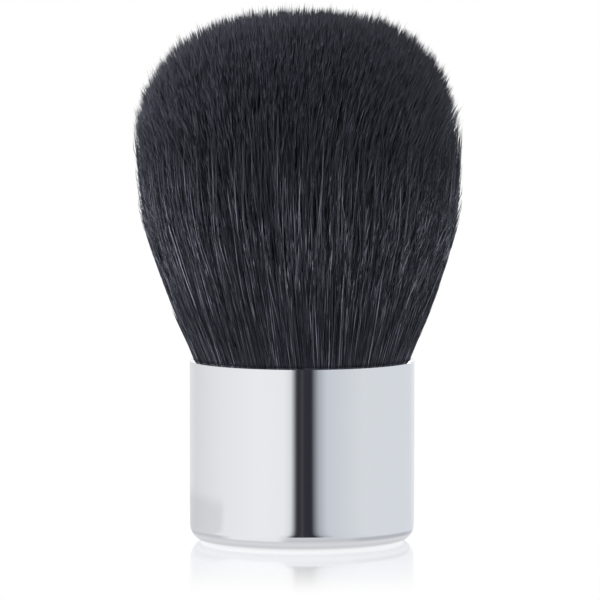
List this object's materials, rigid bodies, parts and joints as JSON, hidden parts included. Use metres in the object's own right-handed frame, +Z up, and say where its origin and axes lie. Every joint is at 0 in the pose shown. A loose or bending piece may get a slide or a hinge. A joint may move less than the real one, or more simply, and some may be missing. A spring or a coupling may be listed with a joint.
{
  "type": "kabuki makeup brush",
  "caption": "Short kabuki makeup brush: a dense domed head of black hair in a plain chromed cup that is its handle and its foot.",
  "frame": {"origin": "centre of the ring on the underside that the brush stands on", "axes": "+Z up along the brush's axis, towards the tips of the hair; -Y is the side that the picture shows"},
  "size_m": [0.046, 0.046, 0.076],
  "materials": {
    "chrome_cup": "polished",
    "core_plastic": "matte",
    "weight_steel": "satin",
    "glue": "satin",
    "ferrule_metal": "satin",
    "resin": "gloss",
    "thread": "matte",
    "hair": "matte"
  },
  "bodies": {
    "root": {"handle_cup": "chrome_cup", "core_sleeve": "core_plastic", "base_weight": "weight_steel", "weight_pad": "glue", "bond_ring": "glue", "ferrule": "ferrule_metal", "root_resin": "resin", "binding_thread": "thread", "hair_bundle": "hair"}
  },
  "joints": []
}
